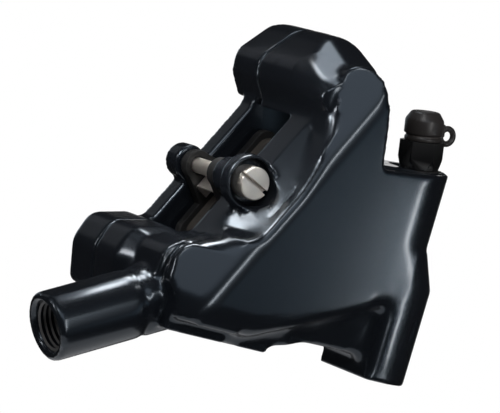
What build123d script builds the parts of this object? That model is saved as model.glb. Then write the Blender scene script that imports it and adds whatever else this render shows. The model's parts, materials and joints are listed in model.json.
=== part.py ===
import os
from math import cos, radians, sin

from build123d import *

# Rear flat-mount hydraulic disc brake caliper, in two halves bolted across the rotor.
# X runs along the mount face towards the rear, Y inboard across the rotor, Z up.
# The origin is on the mount face, midway between the two mounting threads.

# Mounting feet and whole body
mount_spacing = 34.0
mount_thread_radius = 2.1
mount_thread_depth = 10.0
body_height = 57.6
corner_height_share = 0.0694
corner_spacing_share = 0.1176
cut_overrun = 2.0

# Reach of the faces across the wheel, from the line of the mounting threads
face_reach = 7.5
wall_reach = 4.6
plate_back_reach = 0.8
slot_reach = 7.8
slot_width = 12.4
seam_reach = 18.3
bar_thickness = 4.1
lobe_reach = 27.3

# Pad window, its tilt and the slanting front facet of the face plate
window_angle = 61.0
facet_angle = 32.0
crease_drop = 5.3
valley_ridge_drop = 1.8
valley_ridge_reach = 1.5
valley_sag = 0.5
valley_start = 9.2
valley_end = 15.5
valley_height = 14.0

# Rotor and pads
rotor_thickness = 1.8
rotor_gap = 0.5
lining_thickness = 2.1
plate_thickness = 1.8
pad_half_length = 13.2
pad_top = 11.2
pad_bottom = 10.0
pad_corner = 2.5
lining_inset = 0.9
tab_radius = 2.7
tab_foot = 4.6
tab_hole_clearance = 0.2

# Pistons, bores and seals
piston_radius = 11.0
piston_fit = 0.03
piston_drop = 16.6
pad_offset = 1.6
piston_cup_radius = 8.2
piston_cup_depth = 5.0
piston_edge = 0.5
piston_rest_gap = 0.3
pad_rest_gap = 0.05
outer_bore_depth = 12.0
inner_bore_depth = 7.4
seal_width = 2.0
seal_thickness = 1.2
seal_mouth = 1.4
seal_clearance = 0.02
housing_radius = 13.2
housing_end_radius = 11.3
housing_straight = 5.2
housing_reach = 29.8

# Bridge bolts
bolt_radius = 2.5
bolt_thread_radius = 2.28
bolt_clearance = 0.15
bolt_head_radius = 4.25
bolt_head_height = 5.0
bolt_sink_share = 0.578
bolt_thread_depth = 13.3
bolt_tip_gap = 1.0
bolt_socket_width = 4.0
bolt_socket_depth = 2.6
bolt_edge = 0.4

# Fluid passage between the halves
passage_radius = 0.9
crossover_seal_radius = 1.55
crossover_seal_wire = 0.45
crossover_turn_reach = 3.0
inner_turn_reach = 23.6

# Pad axle, its ears and its clip
axle_radius = 1.4
axle_fit = 0.05
axle_thread_radius = 1.95
axle_thread_length = 4.4
axle_head_radius = 2.95
axle_head_height = 3.5
axle_head_seat = 2.0
axle_slot_width = 0.8
axle_slot_depth = 1.3
axle_slot_angle = -21.0
axle_edge = 0.25
axle_end_reach = 25.7
ear_radius = 3.4
ear_rim_radius = 4.9
ear_rim_start = 0.3
ear_rim_depth = 2.9
head_pocket_radius = 4.2
far_ear_radius = 3.2
clip_thickness = 0.4
clip_radius = 2.5
clip_gap = 1.6
clip_groove_depth = 0.3

# Pad spring
spring_sheet = 0.35
spring_width = 6.0
spring_crown_drop = 2.1
spring_foot_drop = 5.3
spring_bend = 0.9

# Hose port
port_angle = 26.0
port_radius = 6.15
port_length = 16.4
port_thread_radius = 4.35
port_thread_depth = 10.0
port_mouth_chamfer = 0.6
port_edge = 0.5
port_flat = 5.85
port_reach = 4.2
port_groove_depth = 0.25
port_groove_length = 1.6
port_neck_length = 6.8
port_passage_length = 31.0
port_seat_depth = 1.6

# Bleed boss, nipple and cap
nipple_lean = 11.5
boss_pad_radius = 4.4
boss_spot_radius = 5.2
boss_pad_height = 0.4
nipple_thread_radius = 3.1
nipple_thread_length = 8.0
nipple_bore_depth = 9.4
nipple_fit = 0.03
nipple_hex_width = 7.0
nipple_hex_height = 5.0
nipple_hex_edge = 0.7
nipple_neck_radius = 1.9
nipple_barb_radius = 2.25
nipple_barb_height = 1.6
nipple_top = 9.4
nipple_hole_radius = 0.8
nipple_seat_gap = 0.1
bleed_seal_radius = 3.5
bleed_seal_wire = 0.4
bleed_seal_pocket = 3.95
cap_radius = 3.55
cap_height = 4.7
cap_edge = 1.1
cap_bore_radius = 2.4
cap_roof = 0.8
cap_ring_radius = 3.35
cap_ring_height = 0.6
cap_loop_reach = 5.4
cap_loop_radius = 1.85
cap_loop_hole = 0.75
cap_loop_width = 1.5
cap_loop_rise = 1.9

# Rounding in plan of the rear corner, and the rear leg
boss_plan_corner = 9.5
inboard_plan_corner = 5.0
leg_corner_share = 0.300
leg_corner_depth_share = 0.667
shoulder_corner_share = 0.218
leg_front_corner_share = 0.0382353
recess_width = 2.2
recess_height = 4.6
recess_depth = 0.4
recess_corner = 0.6
recess_rise = 10.4
recess_angle = 26.0
lobe_edge = 1.6
lower_blend = 3.4
upper_end_reach = 3.6
upper_slope_reach = 10.0
upper_rear_corner_share = 0.32352941
upper_front_corner_share = 0.1
upper_profile_corner = 2.4
upper_facet_lean = 39.0

os.makedirs("parts", exist_ok=True)

# Side outlines as (x share of mount_spacing, z share of body_height, corner share of the soft corner).
face_shares = [
    (-0.874, 0.039, 0.25), (-0.897, 0.097, 0.50), (-0.944, 0.147, 0.62), (-0.929, 0.214, 0.75),
    (-0.888, 0.258, 0.62), (-0.547, 0.342, 0.25), (-0.400, 0.493, 0.75), (-0.350, 0.569, 2.00),
    (-0.291, 0.704, 2.00), (-0.276, 0.807, 1.25), (-0.259, 0.896, 0.80), (-0.153, 0.937, 0.88),
    (-0.035, 0.877, 1.25), (0.015, 0.764, 1.50), (0.056, 0.637, 0.30), (0.609, 0.681, 0.38),
    (0.609, 0.233, 0.00), (0.329, 0.233, 0.00), (-0.429, 0.037, 0.75),
]
wall_shares = [
    (-0.894, 0.000, 0.00), (-0.912, 0.069, 0.50), (-0.971, 0.152, 0.62), (-0.962, 0.230, 0.85),
    (-0.853, 0.272, 0.75), (-0.697, 0.295, 0.38), (-0.304, 0.709, 0.25), (-0.274, 0.764, 0.50),
    (-0.103, 0.886, 0.50), (0.009, 0.764, 0.50), (0.050, 0.649, 0.30), (0.609, 0.681, 0.38),
    (0.609, 0.000, 0.00), (0.329, 0.000, 0.00), (0.329, 0.062, 0.40), (-0.015, 0.059, 0.25),
    (-0.218, 0.023, 0.25), (-0.250, 0.000, 0.00),
]
flank_shares = [
    (-0.886, 0.000, 0.00), (-0.886, 0.039, 0.25), (-0.895, 0.097, 0.50), (-0.925, 0.147, 0.62),
    (-0.912, 0.212, 0.75), (-0.872, 0.250, 0.62), (-0.697, 0.295, 0.38), (-0.304, 0.697, 0.25),
    (-0.270, 0.764, 0.50), (-0.103, 0.876, 0.50), (0.005, 0.764, 0.50), (0.046, 0.647, 0.30),
    (0.609, 0.681, 0.38), (0.609, 0.000, 0.00), (0.329, 0.000, 0.00), (0.329, 0.062, 0.40),
    (-0.015, 0.059, 0.25), (-0.218, 0.023, 0.25), (-0.250, 0.000, 0.00),
]
upper_end_foot = (-0.272, 0.728, 0.25)
lower_lobe_shares = [
    (-0.984, 0.032, 0.45), (-1.038, 0.166, 1.12), (-0.976, 0.258, 0.90), (-0.726, 0.293, 0.45),
    (-0.694, 0.223, 0.75), (-0.738, 0.032, 0.45),
]
lower_neck_shares = [
    (-0.930, 0.040, 0.30), (-0.985, 0.168, 1.12), (-0.930, 0.242, 0.90), (-0.726, 0.282, 0.15),
    (-0.694, 0.223, 0.75), (-0.738, 0.040, 0.25),
]
upper_lobe_shares = [
    (-0.300, 0.711, 0.07), (-0.292, 0.743, 0.38), (-0.362, 0.803, 0.38), (-0.380, 0.864, 0.95),
    (-0.185, 0.988, 1.60), (-0.035, 1.000, 1.20), (0.094, 0.938, 0.90), (0.088, 0.889, 0.25),
    (-0.191, 0.753, 1.50),
]

bar_shares = [
    (-0.738, 0.057, 0.25), (-0.800, 0.218, 0.25), (-0.726, 0.287, 0.15), (-0.697, 0.295, 0.38),
    (-0.304, 0.709, 0.25), (-0.274, 0.881, 0.50), (0.060, 0.881, 0.50), (0.262, 0.534, 1.50),
    (0.262, 0.287, 2.00), (-0.050, 0.143, 2.00), (-0.420, 0.129, 1.50),
]
leg_front_share, leg_rear_share = 0.329, 0.724
leg_top_share, shoulder_top_share, shoulder_rear_share = 0.310, 0.425, 0.590

upper_end_share = 0.886
# Facets of the upper lobe's end as (turn, x share of mount_spacing, reach, z share of body_height).
upper_facets = [(-56.0, -0.300, 2.85, 0.892), (58.0, -0.004, 3.95, 0.951)]
axle_x_share, axle_z_share = -0.571, 0.488
front_bolt_x_share, front_bolt_z_share = -0.862, 0.166
rear_bolt_x_share, rear_bolt_z_share = -0.100, 0.891
crossover_x_share, crossover_z_share = -0.250, 0.813
nipple_x_share, nipple_z_share = 0.435, 0.664
port_x_share, port_z_share = -1.437, -0.089


def side_plane(reach):
    """Plane parallel to the wheel, seen from outboard, at a reach inboard of the mounting threads."""
    return Plane.XZ.offset(-reach)


def side_point(x_share, z_share):
    """A place on the side view, from its shares of the mount spacing and the body height."""
    return (x_share * mount_spacing, z_share * body_height)


def side_outline(outline_shares):
    """A closed side outline with its corners rounded."""
    points = [side_point(x_share, z_share) for x_share, z_share, _ in outline_shares]
    soft_corner = min(corner_height_share * body_height, corner_spacing_share * mount_spacing)
    corners = [corner_share * soft_corner for _, _, corner_share in outline_shares]
    with BuildSketch() as outline:
        with BuildLine():
            FilletPolyline(*points, radius=corners, close=True)
        make_face()
    return outline.sketch


def plan_outline(front, rear, front_corner, rear_corner):
    """Outline seen from above between the face and the slot, rounded at its rear and outboard front corners."""
    with BuildSketch() as outline:
        with Locations(((front + rear) / 2, (slot_reach - face_reach) / 2)):
            Rectangle(rear - front, slot_reach + face_reach)
        fillet(outline.vertices().sort_by_distance((front, -face_reach))[0], front_corner)
        fillet(outline.vertices().sort_by_distance((rear, -face_reach))[0], rear_corner)
        fillet(outline.vertices().sort_by_distance((rear, slot_reach))[0], inboard_plan_corner)
    return outline.sketch


def window_point(along, outward):
    """A place on the side view, measured from the pad axle along the window and outward from the wheel."""
    angle = radians(window_angle)
    return (
        axle_x + along * cos(angle) - outward * sin(angle),
        axle_z + along * sin(angle) + outward * cos(angle),
    )


def drilled(start, end, radius):
    """A round passage between two points, to be taken out of a body."""
    line = Vector(*end) - Vector(*start)
    return Solid.make_cylinder(radius, line.length, Plane(origin=start, z_dir=line))


# Places and corners worked out from the shares
upper_profile = [
    (lobe_reach, 0), (-upper_end_reach, 0), (-upper_end_reach, upper_end_share * body_height),
    (upper_slope_reach, body_height), (lobe_reach, body_height),
]
bolt_head_sink = bolt_sink_share * (lobe_reach - seam_reach)
leg_plan_corner = min(leg_corner_share * mount_spacing, leg_corner_depth_share * (face_reach + slot_reach))
leg_front_corner = leg_front_corner_share * mount_spacing
upper_rear_corner = upper_rear_corner_share * mount_spacing
upper_front_corner = upper_front_corner_share * mount_spacing
shoulder_plan_corner = shoulder_corner_share * mount_spacing
axle_x, axle_z = side_point(axle_x_share, axle_z_share)
front_bolt = side_point(front_bolt_x_share, front_bolt_z_share)
rear_bolt = side_point(rear_bolt_x_share, rear_bolt_z_share)
crossover = side_point(crossover_x_share, crossover_z_share)
nipple_foot = side_point(nipple_x_share, nipple_z_share)
port_mouth = side_point(port_x_share, port_z_share)
piston_centre = window_point(pad_offset, -piston_drop)
far_wall_reach = slot_reach + slot_width
rotor_reach = slot_reach + slot_width / 2
bar_reach = far_wall_reach + bar_thickness
outer_bore_end = slot_reach - outer_bore_depth
inner_bore_end = far_wall_reach + inner_bore_depth
outer_lining_face = rotor_reach - rotor_thickness / 2 - rotor_gap
inner_lining_face = rotor_reach + rotor_thickness / 2 + rotor_gap
outer_plate_face = outer_lining_face - lining_thickness
inner_plate_face = inner_lining_face + lining_thickness
outer_piston_face = outer_plate_face - plate_thickness - pad_rest_gap
inner_piston_face = inner_plate_face + plate_thickness + pad_rest_gap

along_window = (cos(radians(window_angle)), 0, sin(radians(window_angle)))
outward = (-sin(radians(window_angle)), 0, cos(radians(window_angle)))
axle_plane = Plane(origin=(axle_x, 0, axle_z), x_dir=outward, z_dir=along_window)
port_inward = (cos(radians(port_angle)), 0, sin(radians(port_angle)))
port_plane = Plane(origin=(port_mouth[0], port_reach, port_mouth[1]), x_dir=(0, 1, 0), z_dir=port_inward)
nipple_up = (-sin(radians(nipple_lean)), 0, cos(radians(nipple_lean)))
nipple_plane = Plane(origin=(nipple_foot[0], 0, nipple_foot[1]), x_dir=(0, 1, 0), z_dir=nipple_up)
crease_point = window_point(0, -crease_drop)
facet_normal = (
    outward[0] * sin(radians(facet_angle)),
    -cos(radians(facet_angle)),
    outward[2] * sin(radians(facet_angle)),
)
facet_plane = Plane(origin=(crease_point[0], -face_reach, crease_point[1]), z_dir=facet_normal)

# Outboard wall behind the face plate, with both feet and the arch between them
with BuildPart() as wall:
    with BuildSketch(side_plane(slot_reach)):
        add(side_outline(wall_shares))
    extrude(amount=slot_reach)
    with BuildSketch(side_plane(0)):
        add(side_outline(flank_shares))
    extrude(amount=wall_reach)
    # Hollowed slope from the window's rim down to the crease of the face plate
    with BuildSketch(axle_plane.offset(-valley_start)):
        with BuildLine():
            ridge = (-valley_ridge_drop, -valley_ridge_reach)
            foot = (-crease_drop, face_reach)
            SagittaArc(ridge, foot, valley_sag)
            Polyline(foot, (-crease_drop, face_reach + cut_overrun), (valley_height, face_reach + cut_overrun),
                     (valley_height, -valley_ridge_reach), ridge)
        make_face()
    extrude(amount=valley_start + valley_end, mode=Mode.SUBTRACT)
    split(bisect_by=facet_plane, keep=Keep.BOTTOM)

# Face plate: flat face, upper tongue and the slanting facet in front of the crease
with BuildPart() as face_plate:
    with BuildSketch(side_plane(-plate_back_reach)):
        add(side_outline(face_shares))
    extrude(amount=face_reach - plate_back_reach)
    split(bisect_by=facet_plane, keep=Keep.BOTTOM)

# Rear leg over the rear mounting thread, narrowing into the boss above it
boss_rear = wall_shares[11][0] * mount_spacing
boss_front = wall_shares[2][0] * mount_spacing - cut_overrun
leg_front = leg_front_share * mount_spacing
leg_rear = leg_rear_share * mount_spacing
shoulder_rear = shoulder_rear_share * mount_spacing
with BuildPart() as leg:
    with BuildSketch(Plane.XY):
        add(plan_outline(leg_front, leg_rear, leg_front_corner, leg_plan_corner))
    extrude(amount=leg_top_share * body_height)
    with BuildSketch(Plane.XY.offset(leg_top_share * body_height)):
        add(plan_outline(leg_front, leg_rear, leg_front_corner, leg_plan_corner))
    with BuildSketch(Plane.XY.offset(shoulder_top_share * body_height)):
        add(plan_outline(leg_front, shoulder_rear, leg_front_corner, shoulder_plan_corner))
    loft()

# Outboard halves of the two lobes that carry the bridge bolts
with BuildPart() as upper_round:
    round_front = upper_lobe_shares[3][0] * mount_spacing
    round_rear = upper_lobe_shares[6][0] * mount_spacing
    with BuildSketch(Plane.YZ.offset(round_front)):
        with BuildLine():
            FilletPolyline(*upper_profile, radius=upper_profile_corner, close=True)
        make_face()
    extrude(amount=round_rear - round_front)
    with BuildSketch(Plane.XY) as round_plan:
        with Locations(((round_front + round_rear) / 2, (lobe_reach - upper_end_reach) / 2)):
            Rectangle(round_rear - round_front, lobe_reach + upper_end_reach)
        fillet(round_plan.vertices().sort_by_distance((round_rear, -upper_end_reach))[0], upper_rear_corner)
        fillet(round_plan.vertices().sort_by_distance((round_front, -upper_end_reach))[0], upper_front_corner)
        fillet(round_plan.vertices().sort_by(Axis.Y)[-2:], lobe_edge)
    extrude(amount=body_height, mode=Mode.INTERSECT)
    # Facets between the sloping front, the rear and the outboard end
    for facet_turn, facet_x_share, facet_reach, facet_z_share in upper_facets:
        facet_x, facet_z = side_point(facet_x_share, facet_z_share)
        facet_level = sin(radians(upper_facet_lean))
        upper_facet_normal = (sin(radians(facet_turn)) * facet_level, -cos(radians(facet_turn)) * facet_level,
                              cos(radians(upper_facet_lean)))
        split(bisect_by=Plane(origin=(facet_x, facet_reach, facet_z), z_dir=upper_facet_normal), keep=Keep.BOTTOM)

with BuildPart() as upper_lobe:
    with BuildSketch(side_plane(seam_reach)):
        add(side_outline(upper_lobe_shares))
    extrude(amount=seam_reach + wall_reach)
    add(upper_round.part, mode=Mode.INTERSECT)

with BuildPart() as lower_lobe:
    with BuildSketch(side_plane(seam_reach)):
        add(side_outline(lower_lobe_shares))
    extrude(amount=seam_reach - slot_reach - lower_blend)
    with BuildSketch(side_plane(slot_reach + lower_blend)):
        add(side_outline(lower_lobe_shares))
    with BuildSketch(side_plane(slot_reach)):
        add(side_outline(lower_neck_shares))
    loft()

# Hose port with its flats and the neck that joins it to the wall
with BuildPart() as port:
    with BuildSketch(port_plane):
        Circle(port_radius)
    extrude(amount=port_length)
    chamfer(port.faces().sort_by(Axis.X)[0].edges(), port_edge)
    with BuildSketch(port_plane):
        with Locations((0, port_flat + port_radius)):
            Rectangle(port_radius * 2, port_radius * 2)
    extrude(amount=port_length, mode=Mode.SUBTRACT)
    with BuildSketch(port_plane.offset(port_length)):
        Circle(port_radius - port_groove_depth)
    extrude(amount=port_groove_length)
    with BuildSketch(port_plane.offset(port_length + port_groove_length)):
        Circle(port_radius)
    extrude(amount=port_neck_length)

with BuildPart() as outer_body:
    add(wall.part)
    add(face_plate.part)
    # Rounded rear corner in plan, over the bleed boss
    with BuildSketch(Plane.XY):
        add(plan_outline(boss_front, boss_rear, leg_front_corner, boss_plan_corner))
    extrude(amount=body_height, mode=Mode.INTERSECT)
    add(leg.part)
    add(upper_lobe.part)
    add(lower_lobe.part)
    add(port.part)
    # Ear round the pad axle, wider round the head
    with BuildSketch(side_plane(slot_reach)):
        with Locations((axle_x, axle_z)):
            Circle(ear_radius)
    extrude(amount=slot_reach)
    with BuildSketch(side_plane(ear_rim_depth)):
        with Locations((axle_x, axle_z)):
            Circle(ear_rim_radius)
    extrude(amount=ear_rim_depth + ear_rim_start)
    # Seat of the bleed nipple
    with BuildSketch(nipple_plane):
        Circle(boss_spot_radius)
    extrude(amount=cut_overrun, mode=Mode.SUBTRACT)
    with BuildSketch(nipple_plane.offset(-boss_pad_radius / 2)):
        Circle(boss_pad_radius)
    extrude(amount=boss_pad_height + boss_pad_radius / 2)
    # Pocket for the head of the pad axle, its thread and its hole
    with BuildSketch(side_plane(axle_head_seat)):
        with Locations((axle_x, axle_z)):
            Circle(head_pocket_radius)
    extrude(amount=axle_head_seat + face_reach, mode=Mode.SUBTRACT)
    with BuildSketch(side_plane(slot_reach)):
        with Locations((axle_x, axle_z)):
            Circle(axle_radius + axle_fit)
    extrude(amount=slot_reach, mode=Mode.SUBTRACT)
    with BuildSketch(side_plane(axle_head_seat + axle_thread_length)):
        with Locations((axle_x, axle_z)):
            Circle(axle_thread_radius + axle_fit)
    extrude(amount=axle_thread_length, mode=Mode.SUBTRACT)
    # Piston bore and seal groove
    with BuildSketch(side_plane(slot_reach)):
        with Locations(piston_centre):
            Circle(piston_radius)
    extrude(amount=outer_bore_depth, mode=Mode.SUBTRACT)
    with BuildSketch(side_plane(slot_reach - seal_mouth)):
        with Locations(piston_centre):
            Circle(piston_radius + seal_thickness + seal_clearance)
    extrude(amount=seal_width + seal_clearance, mode=Mode.SUBTRACT)
    # Threads of the bridge bolts
    with BuildSketch(side_plane(seam_reach)):
        with Locations(front_bolt, rear_bolt):
            Circle(bolt_thread_radius + seal_clearance)
    extrude(amount=bolt_thread_depth, mode=Mode.SUBTRACT)
    # Mounting threads
    with BuildSketch(Plane.XY):
        with GridLocations(mount_spacing, 0, 2, 1):
            Circle(mount_thread_radius)
    extrude(amount=mount_thread_depth, mode=Mode.SUBTRACT)
    # Hose port thread, seat and passage
    with BuildSketch(port_plane):
        Circle(port_thread_radius)
    extrude(amount=port_thread_depth, mode=Mode.SUBTRACT)
    with Locations(port_plane.offset(port_thread_depth)):
        Cone(port_thread_radius, passage_radius, port_seat_depth, align=(Align.CENTER, Align.CENTER, Align.MIN),
             mode=Mode.SUBTRACT)
    with BuildSketch(port_plane.offset(port_thread_depth)):
        Circle(passage_radius)
    extrude(amount=port_passage_length, mode=Mode.SUBTRACT)
    with Locations(port_plane):
        Cone(port_thread_radius + port_mouth_chamfer, port_thread_radius, port_mouth_chamfer,
             align=(Align.CENTER, Align.CENTER, Align.MIN), mode=Mode.SUBTRACT)
    # Bleed bore with the pocket of its seal, and its passage to the piston bore
    nipple_mouth = nipple_plane.offset(boss_pad_height)
    with BuildSketch(nipple_mouth):
        Circle(nipple_thread_radius)
    extrude(amount=-nipple_bore_depth, mode=Mode.SUBTRACT)
    with BuildSketch(nipple_mouth):
        Circle(bleed_seal_pocket)
    extrude(amount=-bleed_seal_wire * 2 - seal_clearance, mode=Mode.SUBTRACT)
    bleed_end = nipple_mouth.origin - nipple_mouth.z_dir * (nipple_bore_depth - passage_radius)
    add(drilled(bleed_end, (piston_centre[0], 0, piston_centre[1]), passage_radius), mode=Mode.SUBTRACT)
    # Passage to the inboard half
    add(drilled((crossover[0], seam_reach, crossover[1]), (crossover[0], crossover_turn_reach, crossover[1]),
                passage_radius), mode=Mode.SUBTRACT)
    add(drilled((crossover[0], crossover_turn_reach, crossover[1]),
                (piston_centre[0], crossover_turn_reach, piston_centre[1]), passage_radius), mode=Mode.SUBTRACT)
    # Small bare recess on the outboard side of the leg
    recess_out = (sin(radians(recess_angle)), -cos(radians(recess_angle)), 0)
    corner_x = leg_rear - leg_plan_corner + leg_plan_corner * recess_out[0]
    corner_y = leg_plan_corner - face_reach + leg_plan_corner * recess_out[1]
    with BuildSketch(Plane(origin=(corner_x, corner_y, recess_rise), x_dir=(-recess_out[1], recess_out[0], 0),
                           z_dir=recess_out)):
        RectangleRounded(recess_width, recess_height, recess_corner)
    extrude(amount=-recess_depth, mode=Mode.SUBTRACT)
outer_body.part.label = "outer_body"
export_step(outer_body.part, "parts/outer_body.step")

# Inboard half: two lobes, the bar along the pad window, the piston housing and the far ear
with BuildPart() as upper_lobe_end:
    with BuildSketch(side_plane(lobe_reach)):
        add(side_outline([upper_end_foot] + upper_lobe_shares[2:]))
    extrude(amount=lobe_reach - seam_reach)
    add(upper_round.part, mode=Mode.INTERSECT)

with BuildPart() as lower_lobe_end:
    with BuildSketch(side_plane(lobe_reach)):
        add(side_outline(lower_lobe_shares))
    extrude(amount=lobe_reach - seam_reach)
    fillet(lower_lobe_end.faces().sort_by(Axis.Y)[-1].edges(), lobe_edge)

with BuildPart() as inner_body:
    with BuildSketch(side_plane(bar_reach)):
        add(side_outline(bar_shares))
    extrude(amount=bar_thickness)
    # Room for the outboard lobes
    with BuildSketch(side_plane(seam_reach)):
        add(side_outline(upper_lobe_shares))
        add(side_outline(lower_lobe_shares))
    extrude(amount=seam_reach - slot_reach, mode=Mode.SUBTRACT)
    add(upper_lobe_end.part)
    add(lower_lobe_end.part)
    with BuildSketch(side_plane(far_wall_reach)):
        with Locations(piston_centre):
            Circle(housing_radius)
    extrude(amount=-housing_straight)
    with BuildSketch(side_plane(far_wall_reach + housing_straight)):
        with Locations(piston_centre):
            Circle(housing_radius)
    with BuildSketch(side_plane(housing_reach)):
        with Locations(piston_centre):
            Circle(housing_end_radius)
    loft()
    with BuildSketch(side_plane(bar_reach)):
        with Locations((axle_x, axle_z)):
            Circle(far_ear_radius)
    extrude(amount=bar_thickness)
    # Hole of the pad axle
    with BuildSketch(side_plane(bar_reach)):
        with Locations((axle_x, axle_z)):
            Circle(axle_radius + axle_fit)
    extrude(amount=bar_thickness, mode=Mode.SUBTRACT)
    # Piston bore and seal groove
    with BuildSketch(side_plane(far_wall_reach)):
        with Locations(piston_centre):
            Circle(piston_radius)
    extrude(amount=-inner_bore_depth, mode=Mode.SUBTRACT)
    with BuildSketch(side_plane(far_wall_reach + seal_mouth)):
        with Locations(piston_centre):
            Circle(piston_radius + seal_thickness + seal_clearance)
    extrude(amount=-seal_width - seal_clearance, mode=Mode.SUBTRACT)
    # Bridge bolt holes and the pockets of their heads
    with BuildSketch(side_plane(seam_reach)):
        with Locations(front_bolt, rear_bolt):
            Circle(bolt_radius + bolt_clearance)
    extrude(amount=seam_reach - lobe_reach, mode=Mode.SUBTRACT)
    with BuildSketch(side_plane(lobe_reach - bolt_head_sink)):
        with Locations(front_bolt, rear_bolt):
            Circle(bolt_head_radius + bolt_clearance)
    extrude(amount=-bolt_head_height - cut_overrun, mode=Mode.SUBTRACT)
    # Seal pocket and passage to the inboard piston bore
    with BuildSketch(side_plane(seam_reach)):
        with Locations(crossover):
            Circle(crossover_seal_radius + crossover_seal_wire + seal_clearance)
    extrude(amount=-crossover_seal_wire * 2 - seal_clearance, mode=Mode.SUBTRACT)
    add(drilled((crossover[0], seam_reach, crossover[1]), (crossover[0], inner_turn_reach, crossover[1]),
                passage_radius), mode=Mode.SUBTRACT)
    add(drilled((crossover[0], inner_turn_reach, crossover[1]),
                (piston_centre[0], inner_turn_reach, piston_centre[1]), passage_radius), mode=Mode.SUBTRACT)
inner_body.part.label = "inner_body"
export_step(inner_body.part, "parts/inner_body.step")

# Bridge bolts, from the inboard side
for bolt_name, bolt_place in (("front_bridge_bolt", front_bolt), ("rear_bridge_bolt", rear_bolt)):
    head_seat_reach = lobe_reach - bolt_head_sink
    with BuildPart() as bridge_bolt:
        with BuildSketch(side_plane(head_seat_reach)):
            with Locations(bolt_place):
                Circle(bolt_head_radius)
        extrude(amount=-bolt_head_height)
        chamfer(bridge_bolt.faces().sort_by(Axis.Y)[-1].edges(), bolt_edge)
        with BuildSketch(side_plane(head_seat_reach)):
            with Locations(bolt_place):
                Circle(bolt_radius)
        extrude(amount=head_seat_reach - seam_reach)
        with BuildSketch(side_plane(seam_reach)):
            with Locations(bolt_place):
                Circle(bolt_thread_radius)
        extrude(amount=bolt_thread_depth - bolt_tip_gap)
        chamfer(bridge_bolt.faces().sort_by(Axis.Y)[0].edges(), bolt_edge)
        with BuildSketch(side_plane(head_seat_reach + bolt_head_height)):
            with Locations(bolt_place):
                RegularPolygon(bolt_socket_width / 2, 6, major_radius=False)
        extrude(amount=bolt_socket_depth, mode=Mode.SUBTRACT)
    bridge_bolt.part.label = bolt_name
    export_step(bridge_bolt.part, f"parts/{bolt_name}.step")

with BuildPart() as crossover_seal:
    with Locations(Plane(origin=(crossover[0], seam_reach + crossover_seal_wire, crossover[1]), z_dir=(0, 1, 0))):
        Torus(crossover_seal_radius, crossover_seal_wire)
crossover_seal.part.label = "crossover_seal"
export_step(crossover_seal.part, "parts/crossover_seal.step")

# Pistons, hollow towards the pads
with BuildPart() as outer_piston:
    piston_back = outer_bore_end + piston_rest_gap
    with BuildSketch(side_plane(outer_piston_face)):
        with Locations(piston_centre):
            Circle(piston_radius - piston_fit)
    extrude(amount=outer_piston_face - piston_back)
    chamfer(outer_piston.faces().sort_by(Axis.Y)[0].edges(), piston_edge)
    with BuildSketch(side_plane(outer_piston_face)):
        with Locations(piston_centre):
            Circle(piston_cup_radius)
    extrude(amount=piston_cup_depth, mode=Mode.SUBTRACT)
outer_piston.part.label = "outer_piston"
export_step(outer_piston.part, "parts/outer_piston.step")

with BuildPart() as inner_piston:
    piston_back = inner_bore_end - piston_rest_gap
    with BuildSketch(side_plane(inner_piston_face)):
        with Locations(piston_centre):
            Circle(piston_radius - piston_fit)
    extrude(amount=inner_piston_face - piston_back)
    chamfer(inner_piston.faces().sort_by(Axis.Y)[-1].edges(), piston_edge)
    with BuildSketch(side_plane(inner_piston_face)):
        with Locations(piston_centre):
            Circle(piston_cup_radius)
    extrude(amount=-piston_cup_depth, mode=Mode.SUBTRACT)
inner_piston.part.label = "inner_piston"
export_step(inner_piston.part, "parts/inner_piston.step")

# Square seals in the bores
for seal_name, seal_start in (
    ("outer_piston_seal", slot_reach - seal_mouth),
    ("inner_piston_seal", far_wall_reach + seal_mouth + seal_width),
):
    with BuildPart() as piston_seal:
        with BuildSketch(side_plane(seal_start)):
            with Locations(piston_centre):
                Circle(piston_radius + seal_thickness)
                Circle(piston_radius, mode=Mode.SUBTRACT)
        extrude(amount=seal_width)
    piston_seal.part.label = seal_name
    export_step(piston_seal.part, f"parts/{seal_name}.step")


def pad_outline(inset, with_tab):
    """Side outline of a pad, inset all round, with or without the tab that hangs on the pad axle."""
    half = pad_half_length - inset
    top = pad_top - inset
    bottom = -pad_bottom + inset
    corners = [(-half, bottom), (half, bottom), (half, top), (-half, top)]
    points = [window_point(pad_offset + along, across - piston_drop) for along, across in corners]
    with BuildSketch() as outline:
        with BuildLine():
            FilletPolyline(*points, radius=pad_corner, close=True)
        make_face()
        if with_tab:
            tab_points = [(-tab_foot, pad_top - piston_drop - pad_corner), (tab_foot, pad_top - piston_drop - pad_corner),
                          (tab_foot, pad_top - piston_drop), (tab_radius, 0), (-tab_radius, 0),
                          (-tab_foot, pad_top - piston_drop)]
            Polygon(*[window_point(along, across) for along, across in tab_points], align=None)
            with Locations((axle_x, axle_z)):
                Circle(tab_radius)
                Circle(axle_radius + tab_hole_clearance, mode=Mode.SUBTRACT)
    return outline.sketch


# Backing plates and friction linings
for pad_name, plate_face, plate_growth in (
    ("outer_pad", outer_plate_face, plate_thickness),
    ("inner_pad", inner_plate_face, -plate_thickness),
):
    with BuildPart() as pad_plate:
        with BuildSketch(side_plane(plate_face)):
            add(pad_outline(0, True))
        extrude(amount=plate_growth)
    pad_plate.part.label = f"{pad_name}_plate"
    export_step(pad_plate.part, f"parts/{pad_name}_plate.step")
    with BuildPart() as pad_lining:
        with BuildSketch(side_plane(plate_face)):
            add(pad_outline(lining_inset, False))
        extrude(amount=-plate_growth / plate_thickness * lining_thickness)
    pad_lining.part.label = f"{pad_name}_lining"
    export_step(pad_lining.part, f"parts/{pad_name}_lining.step")

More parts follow.
